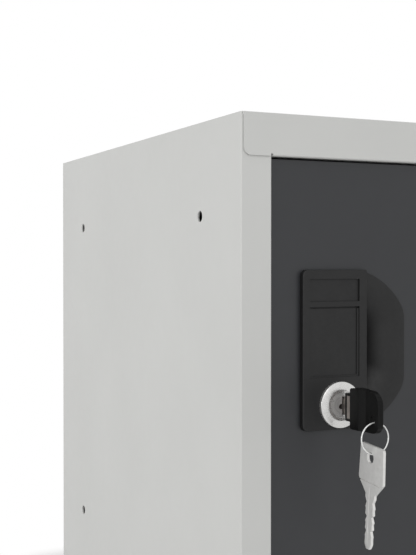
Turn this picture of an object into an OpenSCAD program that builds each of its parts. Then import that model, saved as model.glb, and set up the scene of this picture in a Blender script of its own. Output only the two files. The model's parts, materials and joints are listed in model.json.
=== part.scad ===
// Cell phone locker box: a folded sheet-steel cube with one inset door,
// a moulded handle with a finger scoop, a cam lock, two keys on a ring,
// and a shelf with upright dividers that hold phones on edge.
// Millimetres. The origin is the centre of the base, the front faces -Y, +Z is up.

/* [Cabinet] */
// Overall width
box_w = 300; // [280:5:400]
// Overall depth, from the front lips to the back
box_d = 300; // [280:5:400]
// Overall height
box_h = 300; // [290:5:400]
// Thickness of the sheet steel
sheet = 1; // [0.8:0.1:1.2]
// Inside radius of the folds
fold_r = 1; // [0.6:0.1:1.4]
// Width of the stile beside the door
stile_w = 16.8; // [15:0.2:20]
// Height of the lip above and below the door
lip_h = 21.5; // [18:0.5:26]
// Width of the flanges at the back
rear_flange = 16; // [14:1:20]
// Distance of the joining holes from each edge
hole_inset = 50; // [40:5:60]
// Diameter of the joining holes
hole_d = 6; // [5:0.5:7]

/* [Door] */
// Gap around the door
door_gap = 1.2; // [1:0.1:1.6]
// How far the door face lies behind the stiles
door_recess = 2.5; // [2:0.5:4]
// Depth of the door pan
door_depth = 14; // [13:0.5:15]
// Diameter of the hinge pins
hinge_pin_d = 3; // [2.8:0.1:3.2]

/* [Handle] */
// Distance of the handle plate from the left side
plate_left = 34.9; // [33:0.5:37]
// Width of the handle plate
plate_w = 38.6; // [38:0.2:39]
// Height of the handle plate
plate_h = 82.4; // [80:0.4:86]
// How far the plate stands off the door
plate_t = 3.2; // [3:0.1:3.6]
// Middle of the plate below the top of the cabinet
plate_drop = 119.6; // [115:1:130]
// Radius of the round wing beside the plate
wing_r = 42; // [41.5:0.5:43]
// Reach of the wing beyond the plate
wing_reach = 25; // [24:0.5:26]
// Depth of the finger scoop
scoop_depth = 10.5; // [9:0.5:11]

/* [Lock and keys] */
// Distance of the lock from the left side
lock_left = 56.6; // [56:0.2:57]
// Distance of the lock below the top
lock_drop = 148; // [147:0.5:149]
// Diameter of the lock's front flange
rosette_d = 24; // [22:0.5:25]
// Length of the cam from the lock's axis to its tip
cam_reach = 37; // [34:1:38]
// Outside diameter of the key ring
ring_d = 16.6; // [16:0.2:18]
// Thickness of the ring's wire
wire_d = 0.9; // [0.8:0.1:1.2]

/* [Phone dividers] */
// Number of dividers on each level
divider_n = 8; // [4:2:8]
// Spacing of the dividers
divider_pitch = 30; // [26:1:30]
// Height of the dividers
divider_h = 62; // [50:2:70]
// Front-to-back length of the dividers
divider_len = 172; // [120:4:180]

/* [Hidden] */
$fn = 48;
over = 1;          // how far a cutting shape runs past what it cuts
bend_steps = 5;    // facets in each fold

// Cabinet planes
half_w = box_w / 2;
front_y = -box_d / 2;
back_y = box_d / 2;
stile_y = front_y + sheet;
opening_x = half_w - stile_w;
stop_y = front_y + 20;
stop_w = 9;
bend_notch = 1.2;

// Door planes
door_x = opening_x - door_gap;
door_z0 = lip_h + door_gap;
door_z1 = box_h - lip_h - door_gap;
door_y = stile_y + door_recess;
door_in_y = door_y + sheet;
door_back_y = door_y + door_depth;
hinge_x = door_x - 4;
hinge_y = door_y + 3.5;
hinge_pin_r = hinge_pin_d / 2;
hinge_bore_r = hinge_pin_r + 0.05;
hinge_spigot_r = 2.4;
hinge_spigot_h = 0.8;
stiffener_x = 18;

// Handle planes; the plate's right edge overhangs the pocket behind the finger scoop
plate_x0 = -half_w + plate_left;
plate_x1 = plate_x0 + plate_w;
plate_z = box_h - plate_drop;
plate_y = door_y - plate_t;
wing_centre_in = 12.5;    // how far the wing's centre lies behind the plate's right edge
wing_x = plate_x1 - wing_centre_in;
wing_x1 = plate_x1 + wing_reach;
wing_corner_r = 15;
wing_corner_x = wing_x1 - wing_corner_r;
wing_corner_z = sqrt(pow(wing_r - wing_corner_r, 2) - pow(wing_corner_x - wing_x, 2));
wing_t = 1;
wing_rim = 1.8;
scoop_wall = 1.6;
scoop_slope = 30;         // degrees between the scoop's slope and the door
scoop_rim_y = door_y - wing_t;
scoop_floor_y = door_y + scoop_depth;
hook_depth = 9;
hook_h = 40;
hook_z = plate_z + 6;
hook_y = door_y - 0.7;
boss_r = 3.4;
screw_r = 1.3;
screw_seat_y = door_in_y + 2.4;
screw_len = 4.8;
boss_places = [[plate_x0 + 8, plate_z + plate_h / 2 - 9], [plate_x0 + 7, plate_z - 10]];
label_x0 = plate_x0 + 4;
label_w = 29.8;
label_d = 0.9;
label_slot_d = 1.6;
plate_corners = [3, 1, 1, 3];

// Lock planes
lock_x = -half_w + lock_left;
lock_z = box_h - lock_drop;
rosette_t = 2.9;
rosette_y = plate_y - rosette_t;
rosette_side = 1.5;       // height of the flange's upright edge
dish_r = 7.7;
dish_d = 0.8;
barrel_r = 9.4;
barrel_fit = 0.1;
barrel_flat = 16.6;
barrel_end_y = stop_y + sheet + 0.1;
plug_r = 6.3;
plug_bore_r = 6.35;
plug_y = rosette_y + 0.7; // plane of the rim round the plug's hollow face
plug_dish = 0.5;
cam_y = barrel_end_y + 0.7;
cam_t = 2;
tail_w = 7;
cam_washer_t = 1;
cam_screw_r = 1.5;
cam_screw_in = 3.4;       // how far the cam's screw goes into the plug's tail

// Key, lying upright beside the plug's axis; lengths are counted outwards from the plug's face
key_x = lock_x + 1.9;
key_z = lock_z - 0.45;
keyway_w = 2.4;
keyway_in = 0.25;         // how far the keyway's middle lies from the key's, towards the plug's axis
keyway_h = 9.5;
groove_r = 1.15;
groove_drop = 0.9;
blade_t = 1.5;
blade_root = 9.2;         // height of a blade at its shoulder
blade_tip = 6.8;          // and near its tip
blade_in = 20;
collar_y = plug_y - 2.9;
collar_len = 6.2;
collar_h = 14.4;
collar_t = 3.6;
shoulder_y0 = collar_y - 4.4;
shoulder_y1 = collar_y - 1.6;
shoulder_h = 11.6;
shoulder_inset = 0.1;
head_y = collar_y - collar_len;
head_len = 23.9;
head_h = 20.8;
head_t = 6.4;
head_corners = [6, 2, 2, 8];
grip_len = 8;
grip_bevel = 4.5;
tab_t = 3;
ring_hole_r = 2;
ring_hole_in = 5.5;       // from the head's end to the ring's plane

// Ring in the plane y = ring_y, hung in the key's hole; the spare key hangs on it
ring_y = head_y - head_len + ring_hole_in;
ring_r = (ring_d - wire_d) / 2;
wire_r = wire_d / 2;
hang_gap = 0.35;
ring_top_z = key_z - 5;
ring_z = ring_top_z - ring_r;
ring_hole_z = ring_top_z + ring_hole_r - wire_r - hang_gap;
spare_x = key_x - 2;
spare_t = 1.8;
spare_hole_r = 2.8;
spare_far = key_x - spare_x + spare_t / 2;
spare_hole_z = ring_z - sqrt(pow(ring_r, 2) - pow(spare_far, 2)) - spare_hole_r + wire_r + hang_gap;
spare_hole_in = 1.1;      // how far the hole lies behind the spare key's axis
spare_tilt = 4.5;         // degrees that the spare key hangs askew for it
spare_bow_top = 6.3;
spare_bow_h = 24.3;
spare_blade_len = 27.5;

// Colours
coat = [0.78, 0.79, 0.77];
graphite = [0.26, 0.27, 0.28];
black = [0.12, 0.12, 0.12];
steel = [0.72, 0.72, 0.72];
nickel = [0.82, 0.82, 0.8];
nylon = [0.88, 0.87, 0.82];

// ---------------------------------------------------------------- folded sheet

function unit(v) = v / norm(v);
function left_of(v) = [-v[1], v[0]];
function turned(v, a) = [v[0] * cos(a) - v[1] * sin(a), v[0] * sin(a) + v[1] * cos(a)];
function turn_between(a, b) = atan2(a[0] * b[1] - a[1] * b[0], a * b);

// One fold: points and normals of the sheet's middle line around the corner at path[i]
function fold(path, i, r) =
    let (a = unit(path[i] - path[i - 1]), b = unit(path[i + 1] - path[i]), turn = turn_between(a, b),
         side = sign(turn), reach = r * tan(abs(turn) / 2),
         centre = path[i] - a * reach + left_of(a) * r * side)
    [for (k = [0 : bend_steps])
        let (n = turned(left_of(a), turn * k / bend_steps)) [centre - n * r * side, n]];

// The whole middle line, with each inner corner folded to the radius r
function middle_line(path, r) = [
    for (i = [0 : len(path) - 1])
        if (i == 0) [path[0], left_of(unit(path[1] - path[0]))]
        else if (i == len(path) - 1) [path[i], left_of(unit(path[i] - path[i - 1]))]
        else each fold(path, i, r)
];

// Closed outline of a sheet of even thickness that follows the path
function sheet_outline(path, t = sheet) =
    let (line = middle_line(path, fold_r + t / 2), n = len(line))
    concat([for (p = line) p[0] + p[1] * t / 2],
           [for (i = [n - 1 : -1 : 0]) line[i][0] - line[i][1] * t / 2]);

// A profile drawn in X and Y, standing along Z
module along_z(z0, z1) {
    translate([0, 0, z0]) linear_extrude(z1 - z0) children();
}

// A profile drawn in Y and Z, lying along X
module along_x(x0, x1) {
    translate([x0, 0, 0]) rotate([90, 0, 90]) linear_extrude(x1 - x0) children();
}

// A profile drawn in X and Z, running from y0 back to y1
module along_y(y0, y1) {
    translate([0, y1, 0]) rotate([90, 0, 0]) linear_extrude(y1 - y0) children();
}

module block(low, high) {
    translate(low) cube(high - low);
}

// A rectangle between two corners, with a radius for each: [low left, low right, top right, top left]
module round_rect(low, high, r) {
    places = [[low[0] + r[0], low[1] + r[0]], [high[0] - r[1], low[1] + r[1]],
              [high[0] - r[2], high[1] - r[2]], [low[0] + r[3], high[1] - r[3]]];
    corner_steps = 6;
    polygon([for (i = [0 : 3], k = [0 : corner_steps])
        let (a = 180 + 90 * (i + k / corner_steps)) places[i] + r[i] * [cos(a), sin(a)]]);
}

// ---------------------------------------------------------------- cabinet

// The side, folded into the stile, the return beside the door and the door stop
module side_panel() {
    mid = sheet / 2;
    path = [
        [-half_w + rear_flange, back_y - mid], [-half_w + mid, back_y - mid],
        [-half_w + mid, stile_y + mid], [-opening_x - mid, stile_y + mid],
        [-opening_x - mid, stop_y + mid], [-opening_x + stop_w, stop_y + mid]
    ];
    color(coat) difference() {
        along_z(0, box_h) polygon(sheet_outline(path));
        // the flanges stop inside the top and bottom sheets
        for (z = [-over, box_h - sheet])
            block([-half_w + sheet, stile_y - over, z], [0, back_y + over, z + sheet + over]);
        // the door stop ends where it meets the stops of the top and the bottom
        for (s = [0, 1]) translate([0, 0, s * box_h]) mirror([0, 0, s])
            block([-opening_x, stop_y - over, -over], [0, stop_y + sheet + over, lip_h + stop_w + 0.5]);
        for (y = [front_y + hole_inset, back_y - hole_inset], z = [hole_inset, box_h - hole_inset])
            translate([-half_w - over, y, z]) rotate([0, 90, 0]) cylinder(d = hole_d, h = sheet + 2 * over);
        rivet_holes();
    }
}

module left_side_panel() { side_panel(); }

module right_side_panel() {
    mirror([1, 0, 0]) side_panel();
}

// The top sheet with its front lip, the return over the door, the door stop and the rear flange
module top_panel() {
    mid = sheet / 2;
    z1 = box_h - mid;
    lip_z = box_h - lip_h;
    inner_x = half_w - sheet;
    return_x = opening_x - 0.8;
    shell_path = [[back_y - mid, box_h - rear_flange], [back_y - mid, z1],
                  [front_y + mid, z1], [front_y + mid, lip_z]];
    return_path = [[front_y + mid, lip_z + 6], [front_y + mid, lip_z + mid], [stop_y + mid, lip_z + mid],
                   [stop_y + mid, lip_z - stop_w]];
    color(coat) difference() {
        union() {
            difference() {
                along_x(-inner_x, inner_x) polygon(sheet_outline(shell_path));
                // the rear flange stops between the side flanges
                for (s = [0, 1]) mirror([s, 0, 0])
                    block([half_w - rear_flange, back_y - sheet - over, box_h - rear_flange - over],
                          [half_w, back_y + over, box_h - sheet]);
                // relief notches at the ends of the fold
                block([-return_x - bend_notch, front_y - over, lip_z - over],
                      [return_x + bend_notch, stile_y + over, lip_z + bend_notch]);
                // rounded lower corners of the lip
                for (s = [0, 1]) mirror([s, 0, 0]) lip_corner(inner_x, lip_z);
            }
            along_x(-return_x, return_x) polygon(sheet_outline(return_path));
            // flanges welded to the sides
            for (s = [0, 1]) mirror([s, 0, 0])
                block([-inner_x, stop_y + 12, box_h - rear_flange],
                      [-inner_x + sheet, back_y - 12, box_h - mid]);
        }
        rivet_holes();
        translate([hinge_x, hinge_y, lip_z - over]) cylinder(r = hinge_pin_r, h = 4);
    }
}

// Cuts the lower corner of a lip at x to a radius
module lip_corner(x, z) {
    r = 3;
    difference() {
        block([x - r, front_y - over, z - over], [x + over, stile_y + over / 2, z + r]);
        translate([x - r, 0, z + r]) rotate([90, 0, 0]) cylinder(r = r, h = 2 * box_d, center = true);
    }
}

module bottom_panel() {
    translate([0, 0, box_h]) mirror([0, 0, 1]) top_panel();
}

// Where the back is riveted to the flanges: [x, z]
rivet_in = rear_flange / 2;
rivet_places = concat(
    [for (s = [-1, 1], z = [40, box_h / 2, box_h - 40]) [s * (half_w - rivet_in), z]],
    [for (z = [rivet_in, box_h - rivet_in], x = [-half_w + 60, 0, half_w - 60]) [x, z]]);
rivet_r = 2;

module rivet_holes() {
    for (p = rivet_places)
        translate([p[0], back_y + over, p[1]]) rotate([90, 0, 0]) cylinder(r = rivet_r, h = 4);
}

// Plain sheet inside the rear flanges, with four wall-fixing holes
module back_panel() {
    edge = sheet + fold_r + 0.1;
    color(coat) difference() {
        block([-half_w + edge, back_y - 2 * sheet, edge], [half_w - edge, back_y - sheet, box_h - edge]);
        for (x = [-half_w + hole_inset, half_w - hole_inset], z = [hole_inset, box_h - hole_inset])
            translate([x, back_y + over, z]) rotate([90, 0, 0]) cylinder(d = hole_d + 1, h = 6);
        rivet_holes();
    }
}

// Blind rivets: a low domed head outside, a shank, and the set end inside
module back_rivets() {
    head_r = 4;
    head_h = 1.1;
    set_r = 2.9;
    set_h = 1.6;
    color(steel) for (p = rivet_places) translate([p[0], back_y, p[1]]) rotate([-90, 0, 0]) {
        rotate_extrude() polygon(concat(
            [[0, -2 * sheet - set_h], [set_r - 0.6, -2 * sheet - set_h], [set_r, -2 * sheet - set_h + 0.6],
             [set_r, -2 * sheet], [rivet_r, -2 * sheet], [rivet_r, 0]],
            [for (a = [0 : 15 : 90]) [head_r * cos(a), head_h * sin(a)]]));
    }
}

shelf_z = box_h / 2;
shelf_front_y = stop_y + 24;
shelf_back_y = back_y - 6;

// Shelf with a turned-down front and a turned-up back
module shelf() {
    mid = sheet / 2;
    z = shelf_z - mid;
    path = [[shelf_front_y + 9, z - 15], [shelf_front_y + mid, z - 15], [shelf_front_y + mid, z],
            [shelf_back_y - mid, z], [shelf_back_y - mid, z + 12]];
    x = half_w - sheet - 0.5;
    color(coat) along_x(-x, x) polygon(sheet_outline(path));
}

// Angle welded to the side, under the shelf
module left_shelf_bracket() {
    leg = 15;
    mid = sheet / 2;
    path = [[-half_w + sheet + leg, shelf_z - sheet - mid], [-half_w + sheet + mid, shelf_z - sheet - mid],
            [-half_w + sheet + mid, shelf_z - sheet - leg]];
    color(coat) translate([0, shelf_back_y - 8, 0]) rotate([90, 0, 0])
        linear_extrude(shelf_back_y - shelf_front_y - 20) polygon(sheet_outline(path));
}

module right_shelf_bracket() {
    mirror([1, 0, 0]) left_shelf_bracket();
}

divider_y0 = shelf_front_y + 8;
divider_r = 26;

// A row of upright plates with rounded top corners, standing on the floor at z
module dividers(z) {
    color(coat) for (i = [0 : divider_n - 1]) {
        x = (i - (divider_n - 1) / 2) * divider_pitch;
        along_x(x - sheet / 2, x + sheet / 2)
            round_rect([divider_y0, z], [divider_y0 + divider_len, z + divider_h],
                       [0, 0, divider_r / 2, divider_r]);
    }
}

module upper_dividers() { dividers(shelf_z); }

module lower_dividers() { dividers(sheet); }

// Hinge pin set in the frame, with its head inside the return
module upper_hinge_pin() {
    lip_z = box_h - lip_h;
    seat = lip_z + sheet;
    tip = lip_z - 15;
    head_r = 3.2;
    head_h = 1.7;
    bevel = 0.4;
    color(steel) translate([hinge_x, hinge_y, 0]) rotate_extrude() polygon([
        [0, tip], [hinge_pin_r - bevel, tip], [hinge_pin_r, tip + bevel], [hinge_pin_r, seat],
        [head_r, seat], [head_r, seat + head_h - bevel], [head_r - bevel, seat + head_h],
        [0, seat + head_h]]);
}

module lower_hinge_pin() {
    translate([0, 0, box_h]) mirror([0, 0, 1]) upper_hinge_pin();
}

// Rubber buttons on the door stop
module door_bumpers() {
    bumper_h = stop_y - door_back_y - 0.3;
    bumper_r = 3.4;
    bevel = 0.8;
    color(black) for (z = [lip_h + 22, box_h - lip_h - 22])
        translate([-opening_x + stop_w / 2, stop_y, z]) rotate([90, 0, 0])
            rotate_extrude() polygon([[0, 0], [bumper_r, 0], [bumper_r, bumper_h - bevel],
                                      [bumper_r - bevel, bumper_h], [0, bumper_h]]);
}

// ---------------------------------------------------------------- door

// Part of a circle, flattened at its far side: the wing less its inset, as far as x0
module wing_shape(inset, x0) {
    intersection() {
        translate([wing_x, plate_z]) circle(r = wing_r - inset, $fn = 96);
        translate([x0, plate_z - wing_r]) square([wing_x1 - inset - x0, 2 * wing_r]);
    }
}

// The wing's outline, with its two corners rounded
module wing_outline(x0) {
    corner = [wing_corner_x - wing_x, wing_corner_z];
    intersection() {
        wing_shape(0, x0);
        translate([wing_x, plate_z]) union() {
            translate([-wing_r, -corner[1]]) square([2 * wing_r, 2 * corner[1]]);
            for (s = [0, 1]) mirror([0, s]) {
                translate(corner) circle(r = wing_corner_r);
                polygon([[0, 0], 2 * corner, [0, 2 * wing_r], [-wing_r, 2 * wing_r], [-wing_r, 0]]);
            }
        }
    }
}

// Folded pan with returns along its sides, cut out for the scoop, the lock and the screws
module door_panel() {
    mid = sheet / 2;
    lip = 9;
    pan_path = [
        [-door_x + lip, door_back_y - mid], [-door_x + mid, door_back_y - mid],
        [-door_x + mid, door_y + mid], [door_x - mid, door_y + mid],
        [door_x - mid, door_back_y - mid], [door_x - lip, door_back_y - mid]
    ];
    cap_path = [[door_back_y - 1, door_z0 + mid], [door_y + mid, door_z0 + mid],
                [door_y + mid, door_z1 - mid], [door_back_y - 1, door_z1 - mid]];
    edge_r = fold_r + sheet;
    color(graphite) difference() {
        intersection() {
            union() {
                along_z(door_z0, door_z1) polygon(sheet_outline(pan_path));
                along_x(-door_x + mid, door_x - mid) polygon(sheet_outline(cap_path));
            }
            along_x(-half_w, half_w)
                round_rect([door_y, door_z0], [door_back_y + over, door_z1], [edge_r, 0, 0, edge_r]);
        }
        along_y(door_y - over, door_in_y + over) scoop_cutout(0.3);
        along_y(door_y - over, door_in_y + over) barrel_shape(0.15);
        for (p = boss_places)
            translate([p[0], door_in_y + over, p[1]]) rotate([90, 0, 0])
                cylinder(r = boss_r + 0.3, h = sheet + 2 * over);
        for (z = [door_z0 - over, door_z1 - sheet - over])
            translate([hinge_x, hinge_y, z]) cylinder(r = hinge_spigot_r, h = sheet + 2 * over);
    }
}

// What the handle's cup needs in the door: the wing and the pocket under the plate
module scoop_cutout(gap) {
    wing_shape(wing_rim - gap, plate_x1 - scoop_wall - gap);
    translate([plate_x1 - hook_depth - scoop_wall - gap, hook_z - hook_h / 2 - scoop_wall - gap])
        square([hook_depth + scoop_wall, hook_h + 2 * scoop_wall + 2 * gap]);
}

// The lock barrel's outline, round with two flats
module barrel_shape(gap) {
    translate([lock_x, lock_z]) intersection() {
        circle(r = barrel_r + gap);
        square([barrel_flat + 2 * gap, 2 * barrel_r + 1], center = true);
    }
}

// Upright hat section welded behind the door
module door_stiffener() {
    mid = sheet / 2;
    web = 30;
    foot = 12;
    short = 14;
    crown_y = door_back_y - 2.5;
    path = [[-web / 2 - foot, door_in_y + mid], [-web / 2, door_in_y + mid], [-web / 2, crown_y],
            [web / 2, crown_y], [web / 2, door_in_y + mid], [web / 2 + foot, door_in_y + mid]];
    color(graphite) translate([stiffener_x, 0, 0])
        along_z(door_z0 + short, door_z1 - short) polygon(sheet_outline(path));
}

// Moulded block in the door's corner that turns on the pin; its spigot passes the door's flange
module upper_hinge_block() {
    fit = 0.4;
    z1 = door_z1 - sheet;
    corners = [1, 1, 1, 1];
    spigot_z = z1 - 1;
    color(nylon) difference() {
        union() {
            along_x(hinge_x - 9, door_x - sheet - fit)
                round_rect([door_in_y + fit, z1 - 10], [door_back_y - sheet - 1, z1], corners);
            translate([hinge_x, hinge_y, spigot_z])
                cylinder(r = hinge_spigot_r, h = z1 - spigot_z + sheet + hinge_spigot_h);
        }
        translate([hinge_x, hinge_y, z1 - 20]) cylinder(r = hinge_bore_r, h = 30);
    }
}

module lower_hinge_block() {
    translate([0, 0, box_h]) mirror([0, 0, 1]) upper_hinge_block();
}

// Distance at which the scoop's slope lies at the depth y, for its rim and for t mm of wall behind it
function slope_at(rim, y, t) = rim - (y - scoop_rim_y) / tan(scoop_slope) + t / sin(scoop_slope);

// Section of the scoop from start out to its slope, with t mm of wall around it
function scoop_section(start, rim, t) = let (y0 = scoop_rim_y - over, y1 = scoop_floor_y + t) [
    [start, y0], [slope_at(rim, y0, t), y0], [slope_at(rim, y1, t), y1], [start, y1]];

// The scoop: a cone under the wing's round side, met by a ramp from its flat side
module scoop_volume(t) {
    intersection() {
        translate([wing_x, 0, plate_z]) rotate([-90, 0, 0])
            rotate_extrude($fn = 96) polygon(scoop_section(0, wing_r - wing_rim, t));
        along_z(plate_z - wing_r, plate_z + wing_r)
            polygon(scoop_section(plate_x1 - t, wing_x1 - wing_rim, t));
    }
}

// A recess in the plate, by its left, right, top and bottom edges below the plate's top, and its depth
module plate_recess(x0, x1, top, bottom, depth, corners) {
    plate_z1 = plate_z + plate_h / 2;
    along_y(plate_y - over, plate_y + depth)
        round_rect([x0, plate_z1 - bottom], [x1, plate_z1 - top], corners);
}

// Bare label recesses: a shallow one above, a stepped one with an insertion slot below
module label_recesses() {
    r = 0.4;
    x1 = label_x0 + label_w;
    plate_recess(label_x0, x1, 4.7, 16.4, label_d, [r, r, r, r]);
    plate_recess(label_x0, x1, 19.9, 55.4, label_d / 2, [r, r, r, r]);
    plate_recess(label_x0 + 1, x1 - 1.3, 19.9, 54.6, label_d, [r, r, 0, 0]);
    plate_recess(label_x0, x1, 19, 19.9, label_slot_d, [0, 0, 0, 0]);
}

// The handle moulding: lock and label plate, wing, finger scoop with a pocket behind the plate's edge
module door_handle() {
    plate_z0 = plate_z - plate_h / 2;
    plate_z1 = plate_z + plate_h / 2;
    seam = over / 2;
    color(black) difference() {
        union() {
            along_y(plate_y, door_y)
                round_rect([plate_x0, plate_z0], [plate_x1, plate_z1], plate_corners);
            along_y(door_y - wing_t, door_y) wing_outline(plate_x1 - scoop_wall);
            // cup of the scoop, passing through the door
            intersection() {
                scoop_volume(scoop_wall);
                along_y(door_y - seam, scoop_floor_y + scoop_wall)
                    wing_shape(wing_rim, plate_x1 - scoop_wall);
            }
            // pocket for the fingertips
            block([plate_x1 - hook_depth - scoop_wall, door_y - seam, hook_z - hook_h / 2 - scoop_wall],
                  [plate_x1 + scoop_wall, scoop_floor_y + scoop_wall, hook_z + hook_h / 2 + scoop_wall]);
            for (p = boss_places)
                translate([p[0], screw_seat_y, p[1]]) rotate([90, 0, 0])
                    cylinder(r = boss_r, h = screw_seat_y - door_y + seam);
        }
        scoop_volume(0);
        block([plate_x1 - hook_depth, hook_y, hook_z - hook_h / 2],
              [plate_x1, scoop_floor_y, hook_z + hook_h / 2]);
        label_recesses();
        translate([lock_x, door_y + over, lock_z]) rotate([90, 0, 0])
            cylinder(r = barrel_r + barrel_fit, h = plate_t + 2 * over);
        for (p = boss_places)
            translate([p[0], screw_seat_y + over, p[1]]) rotate([90, 0, 0])
                cylinder(r = screw_r, h = screw_len + over);
    }
}

// Pan-head screws with washers that hold the handle from inside the door
module handle_screws() {
    color(steel) for (p = boss_places) translate([p[0], screw_seat_y, p[1]]) rotate([-90, 0, 0])
        rotate_extrude() polygon([
            [0, -screw_len], [screw_r - 0.4, -screw_len], [screw_r, 1 - screw_len], [screw_r, 0],
            [4.6, 0], [4.6, 0.8], [2.9, 0.8], [2.9, 1.7], [2.1, 2.4], [0, 2.4]]);
}

// ---------------------------------------------------------------- lock

// A revolved shape on the lock's axis: profile in radius and Y
module on_lock_axis(points) {
    translate([lock_x, 0, lock_z]) rotate([-90, 0, 0]) rotate_extrude() polygon(points);
}

// Die-cast body: domed front flange with a dished well, flatted barrel, through bore for the plug
module lock_housing() {
    r = rosette_d / 2;
    edge_r = 0.5;
    lip_r = 0.35;
    side_y = plate_y - rosette_side;
    dish_steps = 6;
    color(nickel) difference() {
        union() {
            on_lock_axis(concat(
                [[plug_bore_r, plate_y]],
                // the well, from the bore up to its rim
                [for (k = [0 : dish_steps]) [
                    plug_bore_r + (dish_r - plug_bore_r) * k / dish_steps,
                    rosette_y + dish_d * (1 - pow(sin(90 * k / dish_steps), 3)) + lip_r * k / dish_steps]],
                [for (a = [150 : -25 : 75])
                    [dish_r + lip_r + lip_r * cos(a), rosette_y + lip_r - lip_r * sin(a)]],
                [for (a = [70 : -14 : 0]) [r - edge_r + edge_r * cos(a), side_y - edge_r * sin(a)]],
                [[r, plate_y]]));
            along_y(plate_y, barrel_end_y) barrel_shape(0);
        }
        translate([lock_x, barrel_end_y + over, lock_z]) rotate([90, 0, 0])
            cylinder(r = plug_bore_r, h = barrel_end_y - plate_y + over + 0.5);
    }
}

// Hexagon nut that clamps the lock and the plate to the door
module lock_nut() {
    color(steel) translate([lock_x, door_in_y + 4, lock_z]) rotate([90, 0, 0]) difference() {
        cylinder(r = 12.4, h = 4, $fn = 6);
        translate([0, 0, -over]) cylinder(r = barrel_r + 0.05, h = 4 + 2 * over);
    }
}

// Rotating plug: a hollow face, a keyway with a round groove at its side, a square tail for the cam
module lock_plug() {
    keyway_y = plug_y + blade_in + 1.5;
    keyway_x = key_x - keyway_in;
    bevel = 0.25;
    face_r = plug_r - 2 * bevel;
    color(nickel) difference() {
        union() {
            on_lock_axis(concat(
                [for (k = [0 : 4]) [face_r * k / 4, plug_y + plug_dish * (1 - pow(k / 4, 2))]],
                [[plug_r - bevel, plug_y], [plug_r, plug_y + bevel], [plug_r, cam_y], [0, cam_y]]));
            block([lock_x - tail_w / 2, cam_y - over, lock_z - tail_w / 2],
                  [lock_x + tail_w / 2, cam_y + cam_t, lock_z + tail_w / 2]);
        }
        block([keyway_x - keyway_w / 2, plug_y - over, key_z - keyway_h / 2],
              [keyway_x + keyway_w / 2, keyway_y, key_z + keyway_h / 2]);
        translate([lock_x, keyway_y, lock_z - groove_drop]) rotate([90, 0, 0])
            cylinder(r = groove_r, h = keyway_y - plug_y + over, $fn = 24);
        translate([lock_x, cam_y + cam_t + over, lock_z]) rotate([90, 0, 0])
            cylinder(r = cam_screw_r, h = cam_screw_in + over);
    }
}

// Flat arm that hangs down unlocked and swings behind the door stop
module lock_cam() {
    half = 7;
    tip = 5.5;
    bevel = 2;
    arm = [[-half, 0], [-tip, bevel - cam_reach], [bevel - tip, -cam_reach],
           [tip - bevel, -cam_reach], [tip, bevel - cam_reach], [half, 0]];
    color(steel) along_y(cam_y, cam_y + cam_t) translate([lock_x, lock_z]) difference() {
        union() {
            circle(r = half);
            polygon(arm);
        }
        square(tail_w, center = true);
    }
}

module cam_washer() {
    y0 = cam_y + cam_t;
    y1 = y0 + cam_washer_t;
    color(steel) on_lock_axis([[cam_screw_r + 0.1, y0], [6, y0], [6, y1], [cam_screw_r + 0.1, y1]]);
}

// Hexagon-head screw in the plug's tail
module cam_screw() {
    seat_y = cam_y + cam_t + cam_washer_t;
    head_h = 2.6;
    color(steel) translate([lock_x, seat_y + head_h, lock_z]) rotate([90, 0, 0]) {
        cylinder(r = 4, h = head_h, $fn = 6);
        cylinder(r = cam_screw_r, h = head_h + cam_washer_t + cam_screw_in - 0.4);
    }
}

// ---------------------------------------------------------------- keys

// Depths of the bitting, the same on both edges
cuts = [0.3, 0.9, 0.5, 1.1, 0.4, 0.8];

// Half the height of a blade at the distance d from its tip
function blade_half(length, d) = (blade_tip + (blade_root - blade_tip) * d / length) / 2;

// One edge of a blade from its tip to its shoulder: [distance from the tip, height]
function cut_edge(length) =
    let (step = (length - 6) / len(cuts), land = 0.15)
    concat([[0, blade_tip / 2 - 1.9], [2, blade_half(length, 2) - 0.5]],
        [for (i = [0 : len(cuts) - 1], k = [0, 1])
            let (d = 3 + step * (i + 0.7 * k))
            [d, blade_half(length, d) - (k == 0 ? land : cuts[i])]],
        [[length - 2, blade_half(length, length - 2)], [length, blade_root / 2]]);

// Closed outline through the points of one side, [distance along, height], and their mirror images
function both_sides(side) = concat(side, [for (i = [len(side) - 1 : -1 : 0]) [side[i][0], -side[i][1]]]);

// Metal blade with cuts on both edges, and the shoulder that shows in the head's collar
module key_blade() {
    tip_y = plug_y + blade_in;
    root_in = 4;
    length = tip_y - collar_y;
    edge = concat(cut_edge(length), [[tip_y - head_y + root_in, blade_root / 2]]);
    shoulder_t = collar_t / 2 - shoulder_inset;
    color(nickel) {
        translate([0, tip_y, key_z]) along_x(key_x - blade_t / 2, key_x + blade_t / 2)
            mirror([1, 0]) polygon(both_sides(edge));
        block([key_x - shoulder_t, shoulder_y0, key_z - shoulder_h / 2],
              [key_x + shoulder_t, shoulder_y1, key_z + shoulder_h / 2]);
    }
}

// Half the thickness of the head along its length: a thick grip, a bevel, a thin tab
function head_plan() =
    let (end = head_y - head_len, m = head_y - grip_len, n = m - grip_bevel,
         h = head_t / 2, t = tab_t / 2, r = 0.5,
         side = [[h - r, head_y], [h, head_y - r], [h, m], [t, n], [t, end + r], [t - r, end]])
    concat(side, [for (i = [len(side) - 1 : -1 : 0]) [-side[i][0], side[i][1]]]);

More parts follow.
